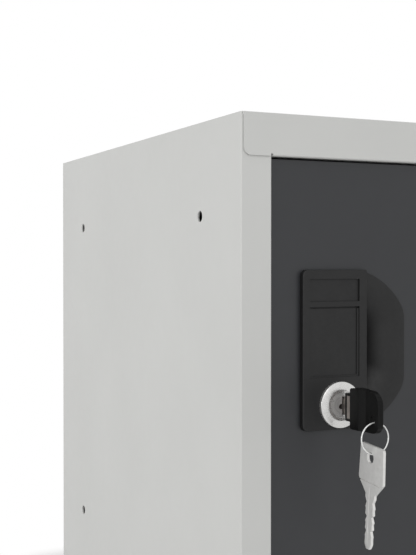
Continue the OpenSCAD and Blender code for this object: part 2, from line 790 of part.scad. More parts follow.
// Moulded black head: collar, grip and a thin tab with the ring's hole
module key_head() {
    end_y = head_y - head_len;
    r = 0.8;
    color(black) difference() {
        union() {
            intersection() {
                along_z(key_z - head_h / 2, key_z + head_h / 2)
                    translate([key_x, 0]) polygon(head_plan());
                along_x(key_x - head_t, key_x + head_t)
                    round_rect([end_y, key_z - head_h / 2], [head_y, key_z + head_h / 2], head_corners);
            }
            along_x(key_x - collar_t / 2, key_x + collar_t / 2)
                round_rect([head_y - 1, key_z - collar_h / 2], [collar_y, key_z + collar_h / 2],
                           [0, r, r, 0]);
        }
        // seats of the blade and its shoulder
        block([key_x - blade_t / 2, head_y - 4, key_z - blade_root / 2],
              [key_x + blade_t / 2, collar_y + over, key_z + blade_root / 2]);
        block([key_x - collar_t, shoulder_y0, key_z - shoulder_h / 2],
              [key_x + collar_t, shoulder_y1, key_z + shoulder_h / 2]);
        translate([key_x - head_t, ring_y, ring_hole_z]) rotate([0, 90, 0])
            cylinder(r = ring_hole_r, h = 2 * head_t);
    }
}

// Round wire ring in the plane of the door
module key_ring() {
    color(nickel) translate([key_x, ring_y, ring_z]) rotate([90, 0, 0]) rotate_extrude()
        translate([ring_r, 0]) circle(r = wire_r, $fn = 24);
}

// All-metal spare key, drawn around its ring hole: bow, shoulders, and a blade with cuts on both edges
module spare_key() {
    root = spare_bow_top - spare_bow_h;
    tip = root - spare_blade_len;
    half = 10.3;
    blade = [for (p = cut_edge(spare_blade_len)) [tip + p[0], p[1]]];
    bow = [[root + 6.6, half], [root + 7.6, half + 0.2], [spare_bow_top - 1.4, half - 0.5],
           [spare_bow_top - 0.4, half - 0.9], [spare_bow_top, half - 1.8]];
    color(nickel) translate([spare_x, ring_y, spare_hole_z]) rotate([spare_tilt, 0, 0]) difference() {
        translate([0, -spare_hole_in, 0]) along_x(-spare_t / 2, spare_t / 2)
            mirror([1, -1]) polygon(both_sides(concat(blade, bow)));
        rotate([0, 90, 0]) cylinder(r = spare_hole_r, h = 2 * spare_t, center = true);
        // guide groove along the blade, and the milled step across the bow
        block([-spare_t, -1.2, tip + 3], [0.4 - spare_t / 2, -0.2, root + 3]);
        block([-spare_t, -9, root + 5.4], [0.25 - spare_t / 2, half, root + 5.8]);
    }
}

// ---------------------------------------------------------------- assembly

left_side_panel();
right_side_panel();
top_panel();
bottom_panel();
back_panel();
back_rivets();
shelf();
left_shelf_bracket();
right_shelf_bracket();
upper_dividers();
lower_dividers();
upper_hinge_pin();
lower_hinge_pin();
door_bumpers();
door_panel();
door_stiffener();
upper_hinge_block();
lower_hinge_block();
door_handle();
handle_screws();
lock_housing();
lock_nut();
lock_plug();
lock_cam();
cam_washer();
cam_screw();
key_blade();
key_head();
key_ring();
spare_key();
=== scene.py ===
import json
import math

import bmesh
import bpy
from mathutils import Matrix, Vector


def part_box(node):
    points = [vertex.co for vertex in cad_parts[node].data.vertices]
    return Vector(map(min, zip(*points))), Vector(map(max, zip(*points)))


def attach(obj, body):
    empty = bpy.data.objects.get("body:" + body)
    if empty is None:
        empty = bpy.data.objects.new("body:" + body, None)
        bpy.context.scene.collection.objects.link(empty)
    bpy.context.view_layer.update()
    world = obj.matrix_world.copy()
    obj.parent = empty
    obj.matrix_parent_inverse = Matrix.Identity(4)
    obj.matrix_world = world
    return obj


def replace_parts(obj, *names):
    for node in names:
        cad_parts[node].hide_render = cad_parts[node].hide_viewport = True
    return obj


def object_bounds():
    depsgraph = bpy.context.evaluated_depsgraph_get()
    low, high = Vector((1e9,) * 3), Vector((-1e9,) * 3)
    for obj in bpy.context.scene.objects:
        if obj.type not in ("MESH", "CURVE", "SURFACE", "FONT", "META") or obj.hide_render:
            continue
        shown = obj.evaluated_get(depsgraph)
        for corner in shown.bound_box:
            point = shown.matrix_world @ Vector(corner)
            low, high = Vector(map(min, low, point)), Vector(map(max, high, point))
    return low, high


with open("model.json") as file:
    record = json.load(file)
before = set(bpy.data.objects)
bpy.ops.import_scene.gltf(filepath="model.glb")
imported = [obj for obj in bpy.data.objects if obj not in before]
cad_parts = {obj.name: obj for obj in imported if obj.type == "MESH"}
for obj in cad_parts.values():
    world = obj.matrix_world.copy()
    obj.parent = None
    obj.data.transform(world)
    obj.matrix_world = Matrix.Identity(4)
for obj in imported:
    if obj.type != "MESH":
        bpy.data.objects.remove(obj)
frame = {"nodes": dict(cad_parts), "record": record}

MM = 0.001
cad_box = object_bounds()

BODY_OF = {node: body
           for body, nodes in frame["record"]["behaviour"]["bodies"].items()
           for node in nodes}


# ---------------------------------------------------------------- camera, light and floor

CAMERA_PLACE = Vector((-382.4, -612.4, 224.5)) * MM
CAMERA_YAW = 24.84       # degrees to the right of +Y
CAMERA_PITCH = -0.73     # degrees above the horizon
CAMERA_LENS = 68.11      # millimetres
CAMERA_SENSOR = 36       # millimetres along the picture's long side


def make_camera():
    data = bpy.data.cameras.new("camera")
    data.lens = CAMERA_LENS
    data.sensor_width = CAMERA_SENSOR
    data.clip_start = 0.02
    data.clip_end = 20
    camera = bpy.data.objects.new("camera", data)
    camera.location = CAMERA_PLACE
    camera.rotation_euler = (math.radians(90 + CAMERA_PITCH), 0, math.radians(-CAMERA_YAW))
    bpy.context.scene.collection.objects.link(camera)
    bpy.context.scene.camera = camera


def make_lamp(name, place, aim, size, power):
    """A soft square lamp at place, facing aim."""
    data = bpy.data.lights.new(name, "AREA")
    data.shape = "SQUARE"
    data.size = size
    data.energy = power
    lamp = bpy.data.objects.new(name, data)
    lamp.location = place
    lamp.rotation_euler = (Vector(aim) - Vector(place)).to_track_quat("-Z", "Y").to_euler()
    bpy.context.scene.collection.objects.link(lamp)


def seen_directly(tree):
    """1 for rays from the camera, from gloss and through glass, and 0 for the rest."""
    path = tree.nodes.new("ShaderNodeLightPath")
    total = path.outputs["Is Camera Ray"]
    for ray in ("Is Glossy Ray", "Is Transmission Ray"):
        add = tree.nodes.new("ShaderNodeMath")
        add.operation = "ADD"
        add.use_clamp = True
        tree.links.new(total, add.inputs[0])
        tree.links.new(path.outputs[ray], add.inputs[1])
        total = add.outputs[0]
    return total


def make_world(ambient):
    """A white room: seen as white, and lighting at the ambient strength."""
    world = bpy.data.worlds.new("studio")
    bpy.context.scene.world = world
    world.use_nodes = True
    tree = world.node_tree
    background = tree.nodes["Background"]
    background.inputs["Color"].default_value = (1, 1, 1, 1)
    strength = tree.nodes.new("ShaderNodeMapRange")
    strength.inputs["To Min"].default_value = ambient
    strength.inputs["To Max"].default_value = 1
    tree.links.new(seen_directly(tree), strength.inputs["Value"])
    tree.links.new(strength.outputs["Result"], background.inputs["Strength"])


def vector_step(tree, operation, value, other=None):
    """One step of vector arithmetic in a material."""
    step = tree.nodes.new("ShaderNodeVectorMath")
    step.operation = operation
    tree.links.new(value, step.inputs[0])
    if other is not None:
        step.inputs[1].default_value = other
    return step


def floor_material(half, fade_over):
    """Pale inside a square of that half width, and plain white from that far beside it on."""
    material = bpy.data.materials.new("floor")
    material.use_nodes = True
    tree = material.node_tree
    tree.nodes.remove(tree.nodes["Principled BSDF"])
    lit = tree.nodes.new("ShaderNodeBsdfDiffuse")
    lit.inputs["Color"].default_value = (0.9, 0.9, 0.9, 1)
    white = tree.nodes.new("ShaderNodeEmission")
    # distance outside the square
    coordinates = tree.nodes.new("ShaderNodeTexCoord")
    beside = vector_step(tree, "ABSOLUTE", coordinates.outputs["Object"])
    beside = vector_step(tree, "SUBTRACT", beside.outputs["Vector"], (half, half, 0))
    beside = vector_step(tree, "MAXIMUM", beside.outputs["Vector"], (0, 0, 0))
    distance = vector_step(tree, "LENGTH", beside.outputs["Vector"])
    fade = tree.nodes.new("ShaderNodeMapRange")
    fade.interpolation_type = "SMOOTHSTEP"
    fade.inputs["From Min"].default_value = 0
    fade.inputs["From Max"].default_value = fade_over
    tree.links.new(distance.outputs["Value"], fade.inputs["Value"])
    seen = tree.nodes.new("ShaderNodeMath")
    seen.operation = "MULTIPLY"
    tree.links.new(fade.outputs["Result"], seen.inputs[0])
    tree.links.new(seen_directly(tree), seen.inputs[1])
    mix = tree.nodes.new("ShaderNodeMixShader")
    tree.links.new(seen.outputs[0], mix.inputs["Fac"])
    tree.links.new(lit.outputs["BSDF"], mix.inputs[1])
    tree.links.new(white.outputs["Emission"], mix.inputs[2])
    tree.links.new(mix.outputs["Shader"], tree.nodes["Material Output"].inputs["Surface"])
    return material


def make_floor(size, fade_over):
    """A pale floor that keeps the object's shadow, and fades to plain white around it."""
    mesh = bpy.data.meshes.new("floor")
    shape = bmesh.new()
    bmesh.ops.create_grid(shape, x_segments=1, y_segments=1, size=size)
    shape.to_mesh(mesh)
    shape.free()
    floor = bpy.data.objects.new("floor", mesh)
    bpy.context.scene.collection.objects.link(floor)
    mesh.materials.append(floor_material((cad_box[1].x - cad_box[0].x) / 2, fade_over))


make_camera()
make_world(ambient=0.66)
make_lamp("side_light", place=(-1.75, 0.35, 0.75), aim=(-0.1, -0.1, 0.15), size=0.8, power=4.5)
make_lamp("front_light", place=(-0.7, -1.65, 1.1), aim=(0, -0.1, 0.15), size=1.1, power=7)
make_lamp("edge_light", place=(-1.6, -0.85, 0.25), aim=(-0.1, -0.15, 0.15), size=0.3, power=2)
make_floor(size=6, fade_over=0.045)
bpy.context.scene.view_settings.view_transform = "Standard"


# ---------------------------------------------------------------- materials

NOISE_LOW = 0.25     # most values of a noise texture lie between these two
NOISE_HIGH = 0.75
RAMP_LOW = 0.3       # where a colour ramp starts and ends on the same scale
RAMP_HIGH = 0.7


class Finish:
    """A material under construction: a principled shader, and the textures that feed it."""

    def __init__(self, name, roughness, metallic=0.0, ior=1.5):
        self.material = bpy.data.materials.new(name)
        self.material.use_nodes = True
        self.tree = self.material.node_tree
        self.shader = self.tree.nodes["Principled BSDF"]
        self.shader.inputs["Roughness"].default_value = roughness
        self.shader.inputs["Metallic"].default_value = metallic
        self.shader.inputs["IOR"].default_value = ior
        self.coordinates = self.tree.nodes.new("ShaderNodeTexCoord")

    def noise(self, size, detail=2.0, stretch=(1, 1, 1)):
        """Noise whose grains are about size metres across, longer along an axis with a small stretch."""
        mapping = self.tree.nodes.new("ShaderNodeMapping")
        mapping.inputs["Scale"].default_value = Vector(stretch) / size
        texture = self.tree.nodes.new("ShaderNodeTexNoise")
        texture.inputs["Scale"].default_value = 1
        texture.inputs["Detail"].default_value = detail
        self.tree.links.new(self.coordinates.outputs["Object"], mapping.inputs["Vector"])
        self.tree.links.new(mapping.outputs["Vector"], texture.inputs["Vector"])
        return texture.outputs["Fac"]

    def spread(self, value, low, high):
        """The value's middle range, spread from low to high."""
        ranged = self.tree.nodes.new("ShaderNodeMapRange")
        ranged.inputs["From Min"].default_value = NOISE_LOW
        ranged.inputs["From Max"].default_value = NOISE_HIGH
        ranged.inputs["To Min"].default_value = low
        ranged.inputs["To Max"].default_value = high
        self.tree.links.new(value, ranged.inputs["Value"])
        return ranged.outputs["Result"]

    def colour(self, value, dark, light):
        """The base colour runs from dark to light with the value."""
        ramp = self.tree.nodes.new("ShaderNodeValToRGB")
        ramp.color_ramp.elements[0].color = (*dark, 1)
        ramp.color_ramp.elements[1].color = (*light, 1)
        ramp.color_ramp.elements[0].position = RAMP_LOW
        ramp.color_ramp.elements[1].position = RAMP_HIGH
        self.tree.links.new(value, ramp.inputs["Fac"])
        self.tree.links.new(ramp.outputs["Color"], self.shader.inputs["Base Color"])

    def roughness(self, value, low, high):
        """The roughness runs from low to high with the value."""
        self.tree.links.new(self.spread(value, low, high), self.shader.inputs["Roughness"])

    def relief(self, value, depth, strength):
        """Bumps of that depth in metres, on top of those already there."""
        bump = self.tree.nodes.new("ShaderNodeBump")
        bump.inputs["Strength"].default_value = strength
        bump.inputs["Distance"].default_value = depth
        self.tree.links.new(value, bump.inputs["Height"])
        below = self.shader.inputs["Normal"]
        if below.links:
            self.tree.links.new(below.links[0].from_socket, bump.inputs["Normal"])
        self.tree.links.new(bump.outputs["Normal"], below)


def powder_coat(name, dark, light, roughness):
    """Baked powder on sheet steel: an even satin coat with a fine orange peel."""
    coat = Finish(name, roughness)
    coat.colour(coat.noise(70 * MM, detail=3), dark, light)
    coat.roughness(coat.noise(6 * MM, detail=3), roughness - 0.04, roughness + 0.04)
    coat.relief(coat.noise(1.1 * MM), depth=0.02 * MM, strength=0.5)
    return coat.material


def moulded_plastic(name, dark, light, roughness, ior=1.44):
    """Injection moulding with a fine spark-eroded grain."""
    plastic = Finish(name, roughness, ior=ior)
    plastic.colour(plastic.noise(9 * MM, detail=3), dark, light)
    plastic.roughness(plastic.noise(2 * MM, detail=3), roughness - 0.04, roughness + 0.05)
    plastic.relief(plastic.noise(0.35 * MM), depth=0.02 * MM, strength=0.5)
    return plastic.material


def plated_metal(name, dark, light, roughness, metallic, stretch=(1, 1, 1)):
    """Plated metal with faint wear and hair-fine scratches."""
    metal = Finish(name, roughness, metallic=metallic)
    metal.colour(metal.noise(2.5 * MM, detail=4), dark, light)
    metal.roughness(metal.noise(1.2 * MM, 4, stretch), roughness - 0.04, roughness + 0.05)
    metal.relief(metal.noise(0.3 * MM, 3, stretch), depth=0.004 * MM, strength=0.4)
    return metal.material


def turned_metal(name, dark, light, roughness, metallic, axis):
    """Plated metal turned on a lathe: fine rings round an axis along Y through that point."""
    ring_width = 0.7 * MM
    metal = Finish(name, roughness, metallic=metallic)
    away = vector_step(metal.tree, "SUBTRACT", metal.coordinates.outputs["Object"], axis)
    away = vector_step(metal.tree, "MULTIPLY", away.outputs["Vector"], (1, 0, 1))
    distance = vector_step(metal.tree, "LENGTH", away.outputs["Vector"])
    rings = metal.tree.nodes.new("ShaderNodeTexNoise")
    rings.noise_dimensions = "1D"
    rings.inputs["Scale"].default_value = 1 / ring_width
    rings.inputs["Detail"].default_value = 3
    metal.tree.links.new(distance.outputs["Value"], rings.inputs["W"])
    metal.colour(rings.outputs["Fac"], dark, light)
    metal.roughness(metal.noise(1.5 * MM, detail=3), roughness - 0.04, roughness + 0.04)
    metal.relief(rings.outputs["Fac"], depth=0.02 * MM, strength=0.6)
    return metal.material


ALONG_Z = (1, 1, 0.15)     # stretches scratches upwards

# The look of each material slot of the record
FINISHES = {
    "grey_coat": powder_coat(
        "satin_grey", dark=(0.575, 0.578, 0.562), light=(0.595, 0.598, 0.582), roughness=0.5),
    "graphite_coat": powder_coat(
        "satin_graphite", dark=(0.0193, 0.0206, 0.0235), light=(0.0215, 0.0228, 0.0258), roughness=0.42),
    "black_plastic": moulded_plastic(
        "moulded_black", dark=(0.006, 0.006, 0.0062), light=(0.0082, 0.0082, 0.0085), roughness=0.55),
    "lock_chrome": plated_metal(
        "satin_chrome", dark=(0.63, 0.625, 0.615), light=(0.67, 0.665, 0.655), roughness=0.26,
        metallic=0.8),
    "zinc_steel": plated_metal(
        "bright_zinc", dark=(0.50, 0.51, 0.52), light=(0.62, 0.63, 0.64), roughness=0.34,
        metallic=0.6),
    "key_nickel": plated_metal(
        "worn_nickel", dark=(0.70, 0.695, 0.68), light=(0.77, 0.765, 0.75), roughness=0.34, metallic=0.35,
        stretch=ALONG_Z),
    "rubber": moulded_plastic(
        "matt_rubber", dark=(0.018, 0.018, 0.018), light=(0.026, 0.026, 0.026), roughness=0.75),
    "nylon": moulded_plastic(
        "natural_nylon", dark=(0.70, 0.68, 0.60), light=(0.76, 0.74, 0.67), roughness=0.5),
}

# Pieces that look unlike the rest of their slot: the turned face of the plug, the brighter ring,
# the key's head, glossier but darker and less reflective than the plate as painted shade for its side
# turned from the light, and the key's dull blade
lock_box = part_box("lock_plug")
lock_centre = (lock_box[0] + lock_box[1]) / 2
TURNED_CHROME = turned_metal(
    "turned_chrome", dark=(0.54, 0.53, 0.52), light=(0.74, 0.73, 0.72), roughness=0.3, metallic=0.6,
    axis=lock_centre)
RING_WIRE = plated_metal(
    "ring_wire", dark=(0.79, 0.79, 0.78), light=(0.83, 0.83, 0.82), roughness=0.25, metallic=0.3)
# painted shade: the key's head gets a darker, less reflective copy of the black plastic, standing in for
# the shade on its side turned from the light
SHADED_HEAD_BLACK = moulded_plastic(
    "head_black_painted_shade", dark=(0.005, 0.005, 0.005), light=(0.0065, 0.0065, 0.0065), roughness=0.4, ior=1.2)
BLADE_NICKEL = plated_metal(
    "dull_nickel", dark=(0.23, 0.205, 0.19), light=(0.29, 0.26, 0.24), roughness=0.36, metallic=0.6,
    stretch=ALONG_Z)


# ---------------------------------------------------------------- pieces

ROUNDED = 1          # the material index that marks the faces of rounded edges while a piece is made
CREASE = 28          # degrees between faces that still shade as one surface
FLAT = 0.5           # degrees between faces that are joined into one
SAME = 0.001 * MM    # vertices this close are joined into one
NEAR = 0.02 * MM     # positions this close count as equal
ON_ARC = 0.05 * MM   # and points this close to an arc count as on it


def corner_angle(corner):
    """The angle of a face at one of its corners."""
    here = corner.vert.co
    before = corner.link_loop_prev.vert.co - here
    after = corner.link_loop_next.vert.co - here
    return before.angle(after, 0.0)


def corner_normals(shape, crease):
    """A normal for each face corner: flat faces stay flat, and the rest runs smoothly into them."""
    limit = math.cos(math.radians(crease))
    normals = []
    for face in shape.faces:
        for corner in face.loops:
            around = [(other.face, corner_angle(other)) for other in corner.vert.link_loops]
            broad = [(other, weight) for other, weight in around if other.material_index != ROUNDED]
            if not broad:
                total = sum((other.normal * weight for other, weight in around), Vector())
                normals.append(total.normalized())
                continue
            guide = face.normal
            if face.material_index == ROUNDED:
                guide = max((other.normal for other, weight in broad), key=face.normal.dot)
            total = sum((other.normal * weight for other, weight in broad
                         if other.normal.dot(guide) > limit), Vector())
            normals.append(total.normalized() if total.length > 0 else guide.copy())
    return normals


def add_piece(name, shape, node, slot, finish=None, crease=CREASE):
    """Links a finished bmesh as a piece that rides on the node's body."""
    shape.normal_update()
    normals = corner_normals(shape, crease)
    for face in shape.faces:
        face.smooth = True
        face.material_index = 0
    mesh = bpy.data.meshes.new(name)
    shape.to_mesh(mesh)
    shape.free()
    mesh.normals_split_custom_set(normals)
    mesh.materials.append(finish or FINISHES[slot])
    piece = bpy.data.objects.new(name, mesh)
    bpy.context.scene.collection.objects.link(piece)
    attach(piece, BODY_OF[node])
    return piece


def round_edges(shape, width, segments=2, angle=30, where=None):
    """Rounds the edges sharper than the angle, or those of them that where picks."""
    sharp = [edge for edge in shape.edges
             if len(edge.link_faces) == 2 and edge.calc_face_angle(0.0) > math.radians(angle)
             and (where is None or where(edge))]
    bmesh.ops.bevel(shape, geom=sharp, offset=width, segments=segments, profile=0.5, affect="EDGES",
                    clamp_overlap=True, material=ROUNDED)


def copy_of(node):
    """The node's mesh as a bmesh, with its doubled vertices joined."""
    shape = bmesh.new()
    shape.from_mesh(frame["nodes"][node].data)
    for layer in list(shape.loops.layers.float_vector.values()):
        shape.loops.layers.float_vector.remove(layer)
    for face in shape.faces:
        face.material_index = 0
    bmesh.ops.remove_doubles(shape, verts=shape.verts, dist=SAME)
    return shape


def join_flat_faces(shape):
    """Makes one face of neighbours that lie in one plane."""
    bmesh.ops.dissolve_limit(shape, angle_limit=math.radians(FLAT), verts=shape.verts, edges=shape.edges)


def finished(node, slot, edge=0.15 * MM, segments=2, angle=30, reshape=None, finish=None, crease=CREASE):
    """A copy of a CAD node with its flat faces joined and its edges rounded, in the node's place."""
    shape = copy_of(node)
    if reshape:
        reshape(shape)
    join_flat_faces(shape)
    round_edges(shape, edge, segments, angle)
    piece = add_piece(node + "_finished", shape, node, slot, finish, crease)
    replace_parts(piece, node)
    return piece


# ---------------------------------------------------------------- cabinet

SHEET = 1 * MM
FOLD_OUTSIDE = 2 * MM      # radius of the sheet's outer face round a fold
DOOR_GAP = 1.2 * MM
GAP_TAKEN = 0.45 * MM      # how much closer the stiles stand to the door here
LIP_H = 21.5 * MM
LIP_CORNER = 3 * MM        # radius of the lip's corners in the CAD part
SOFT_CORNER = 4.3 * MM     # and here
LIP_GROOVE = 0.5 * MM      # how far the back of the lip's free edges leans in

side_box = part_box("left_side_panel")
top_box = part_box("top_panel")
stile_y = side_box[0].y
lip_y = top_box[0].y


def on_fold(sideways, forwards):
    """Whether a point that far out from a fold's centre is on the fold's outer face."""
    if min(sideways, forwards) <= -NEAR:
        return False
    return abs(math.hypot(sideways, forwards) - FOLD_OUTSIDE) < ON_ARC


def square_fold(shape, axes, centre, signs):
    """Presses a fold's outer face out to a crisp corner, which round_edges then breaks."""
    for vert in shape.verts:
        away = [sign * (vert.co[axis] - middle) for axis, middle, sign in zip(axes, centre, signs)]
        if not on_fold(*away):
            continue
        stretch = FOLD_OUTSIDE / max(away)
        for axis, middle, sign, part in zip(axes, centre, signs, away):
            vert.co[axis] = middle + sign * part * stretch


def crisp_side(side):
    """The folds at both edges of a side panel's stile, whose inner edge moves towards the door."""
    outer_x = side * (abs(side_box[0].x) - FOLD_OUTSIDE)
    inner_x = side * (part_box("door_panel")[1].x + DOOR_GAP + FOLD_OUTSIDE)
    return_x = abs(inner_x) - FOLD_OUTSIDE

    def reshape(shape):
        square_fold(shape, (0, 1), (outer_x, stile_y + FOLD_OUTSIDE), (side, -1))
        square_fold(shape, (0, 1), (inner_x, stile_y + FOLD_OUTSIDE), (-side, -1))
        for vert in shape.verts:
            into_sheet = side * vert.co.x - return_x
            if -NEAR < into_sheet < SHEET + NEAR:
                vert.co.x -= side * GAP_TAKEN
    return reshape


def crisp_door(shape):
    """The folds round the door's front face, and its corners where two folds meet."""
    low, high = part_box("door_panel")
    middle = (low + high) / 2
    centre_y = low.y + FOLD_OUTSIDE
    for vert in shape.verts:
        side = math.copysign(1, vert.co.x - middle.x)
        up = math.copysign(1, vert.co.z - middle.z)
        centre_x = (high.x if side > 0 else low.x) - side * FOLD_OUTSIDE
        centre_z = (high.z if up > 0 else low.z) - up * FOLD_OUTSIDE
        out_x = side * (vert.co.x - centre_x)
        out_y = centre_y - vert.co.y
        out_z = up * (vert.co.z - centre_z)
        beside = on_fold(out_x, out_y)
        above = on_fold(out_z, out_y)
        if not (beside or above):
            continue
        stretch = FOLD_OUTSIDE / max(out_y, out_x if beside else 0, out_z if above else 0)
        vert.co.y = centre_y - out_y * stretch
        if beside:
            vert.co.x = centre_x + side * out_x * stretch
        if above:
            vert.co.z = centre_z + up * out_z * stretch


def crisp_lip(up):
    """The front folds of the top or bottom panel, and its lip's corners and free edges."""
    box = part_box("top_panel" if up > 0 else "bottom_panel")
    outer_z = box[1].z if up > 0 else box[0].z
    edge_x = box[1].x
    edge_z = outer_z - up * LIP_H
    grown = SOFT_CORNER / LIP_CORNER

    def reshape(shape):
        for z, sign in ((outer_z - up * FOLD_OUTSIDE, up), (edge_z + up * FOLD_OUTSIDE, -up)):
            square_fold(shape, (1, 2), (lip_y + FOLD_OUTSIDE, z), (-1, sign))
        for vert in shape.verts:
            side = math.copysign(1, vert.co.x)
            beside = edge_x - abs(vert.co.x)
            above = up * (vert.co.z - edge_z)
            in_corner = -NEAR < min(beside, above) and max(beside, above) < LIP_CORNER + NEAR
            if in_corner and vert.co.y < lip_y + SHEET + NEAR:
                vert.co.x -= side * beside * (grown - 1)
                vert.co.z += up * above * (grown - 1)
                beside *= grown
                above *= grown
            if abs(vert.co.y - lip_y - SHEET) > NEAR:
                continue
            if max(beside, above) < SOFT_CORNER + NEAR:
                inward = Vector((SOFT_CORNER - beside, 0, SOFT_CORNER - above)).normalized()
                vert.co += LIP_GROOVE * Vector((-side * inward.x, 0, up * inward.z))
            elif beside < NEAR and above < LIP_H - SHEET:
                vert.co.x -= side * LIP_GROOVE
            elif abs(above) < NEAR:
                vert.co.z += up * LIP_GROOVE
    return reshape


finished("left_side_panel", "grey_coat", edge=0.3 * MM, reshape=crisp_side(-1))
finished("right_side_panel", "grey_coat", edge=0.3 * MM, reshape=crisp_side(1))
finished("top_panel", "grey_coat", edge=0.25 * MM, reshape=crisp_lip(1))
finished("bottom_panel", "grey_coat", edge=0.25 * MM, reshape=crisp_lip(-1))
for node in ("back_panel", "shelf", "left_shelf_bracket", "right_shelf_bracket",
             "upper_dividers", "lower_dividers"):
    finished(node, "grey_coat")
finished("door_panel", "graphite_coat", edge=0.25 * MM, reshape=crisp_door)
finished("door_stiffener", "graphite_coat")
for node in ("upper_hinge_block", "lower_hinge_block"):
    finished(node, "nylon", edge=0.4 * MM)
for node in ("back_rivets", "upper_hinge_pin", "lower_hinge_pin", "handle_screws", "lock_nut",
             "lock_cam", "cam_washer", "cam_screw"):
    finished(node, "zinc_steel", edge=0.12 * MM)
finished("door_bumpers", "rubber", edge=0.2 * MM)


# ---------------------------------------------------------------- handle

PLATE_T = 3.2 * MM               # of the plate in front of the door
WING_R = 42 * MM                 # radius of the wing's upper and lower arcs
WING_CENTRE_IN = 12.5 * MM       # of their centre, inside the plate's right edge
WING_REACH = 25 * MM             # of the wing's flat side, beyond that edge
WING_CORNER_R = 15 * MM          # between the arcs and the flat side
WING_T = 1 * MM                  # of its rim in front of the door
WING_RIM = 1.8 * MM              # width of the rim
WING_ROUND = 0.35 * MM           # radius of the rim's outer edge
SCOOP_DEPTH = 10.5 * MM          # of the scoop's floor behind the door's face
SCOOP_CURVE = 2.5                # the power with which the depth grows from the rim to the floor
SCOOP_WALL = 1.6 * MM            # round the scoop's floor
SCOOP_BACK = SCOOP_WALL * 1.15   # behind the scoop's skin, measured straight in
SCOOP_FLOOR_X = 3.3 * MM         # reach of the scoop's floor beyond the plate
SCOOP_FLOOR_Z = 16 * MM          # and half its height there
SEAM_IN = 0.8 * MM               # how far the wing is let into the plate
PLATE_RIM = 0.9 * MM             # front edges this close to the plate's outline are
PLATE_SOFT = 0.6 * MM            # rounded this widely
PLATE_EDGE = 0.15 * MM           # and the plate's other edges this much
CUT_BEYOND = 0.01 * MM           # the CAD wing is cut off this far beyond the plate's right edge

handle_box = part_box("door_handle")
plate_right = handle_box[1].x - WING_REACH
plate_y = handle_box[0].y
plate_z = (handle_box[0].z + handle_box[1].z) / 2
door_y = plate_y + PLATE_T
rim_y = door_y - WING_T
floor_y = door_y + SCOOP_DEPTH
wing_x = plate_right - WING_CENTRE_IN
seam_x = plate_right - SEAM_IN


def on_arc(centre, radius, angle):
    """The point of a circle in the XZ plane at that angle from +X towards +Z."""
    return centre + radius * Vector((math.cos(angle), 0, math.sin(angle)))


def wing_curve(inset):
    """Points of the wing's outline from its lower end round to its upper end, moved in by the inset."""
    arc_steps, corner_steps, flat_steps = 26, 12, 6
    reach = WING_CENTRE_IN + WING_REACH
    across = reach - WING_CORNER_R
    up = math.sqrt((WING_R - WING_CORNER_R) ** 2 - across ** 2)
    turn = math.atan2(up, across)
    start = math.acos((seam_x - wing_x) / (WING_R - inset))
    upper = [Vector((reach - inset, 0, up * k / flat_steps)) for k in range(flat_steps)]
    for k in range(corner_steps):
        upper.append(on_arc(Vector((across, 0, up)), WING_CORNER_R - inset, turn * k / corner_steps))
    for k in range(arc_steps + 1):
        upper.append(on_arc(Vector(), WING_R - inset, turn + (start - turn) * k / arc_steps))
    lower = [Vector((point.x, 0, -point.z)) for point in upper[:0:-1]]
    return [Vector((wing_x, 0, plate_z)) + point for point in lower + upper]


def scoop_floor(rim, grown):
    """The rim's curve shrunk to the floor of the scoop, larger by grown."""
    seam = Vector((seam_x, 0, plate_z))
    reach = max(point.x for point in rim) - seam_x
    height = max(point.z for point in rim) - plate_z
    x = (plate_right + SCOOP_FLOOR_X + grown - seam_x) / reach
    z = (SCOOP_FLOOR_Z + grown) / height
    return [seam + Vector(((point - seam).x * x, 0, (point - seam).z * z)) for point in rim]


def dip(part):
    """The scoop's depth, from 0 at its rim to 1 at its floor, steepest beside the floor."""
    return part ** SCOOP_CURVE


def bridge(shape, rings, closed=False):
    """Faces between neighbouring rows of vertices."""
    for one, other in zip(rings, rings[1:]):
        count = len(one)
        for k in range(count if closed else count - 1):
            shape.faces.new((one[k], one[(k + 1) % count], other[(k + 1) % count], other[k]))


def make_wing():
    """The wing's rim, the smooth scoop inside it and the cup behind them, as one skin."""
    slope_steps = 14
    depth = floor_y - rim_y
    rim = wing_curve(WING_RIM)
    rows = [[point + Vector((0, door_y, 0)) for point in wing_curve(0)]]
    for angle in (0, 30, 60, 90):
        turn = math.radians(angle)
        rows.append([point + Vector((0, rim_y + WING_ROUND * (1 - math.sin(turn)), 0))
                     for point in wing_curve(WING_ROUND * (1 - math.cos(turn)))])
    floor = scoop_floor(rim, 0)
    for k in range(slope_steps + 1):
        part = k / slope_steps
        rows.append([edge.lerp(low, part) + Vector((0, rim_y + depth * dip(part), 0))
                     for edge, low in zip(rim, floor)])
    floor_row = len(rows) - 1
    back_floor = scoop_floor(rim, SCOOP_WALL)
    for k in range(slope_steps, -1, -1):
        part = k / slope_steps
        rows.append([edge.lerp(low, part) + Vector((0, SCOOP_BACK + rim_y + depth * dip(part), 0))
                     for edge, low in zip(rim, back_floor)])
    shape = bmesh.new()
    rings = [[shape.verts.new(point) for point in row] for row in rows]
    bridge(shape, rings)
    for ring in rings[floor_row:floor_row + 2]:
        shape.faces.new(ring)
    for ends in ([ring[0] for ring in rings], [ring[-1] for ring in rings]):
        shape.faces.new(ends)
    bmesh.ops.recalc_face_normals(shape, faces=shape.faces)
    return add_piece("handle_wing", shape, "door_handle", "black_plastic")


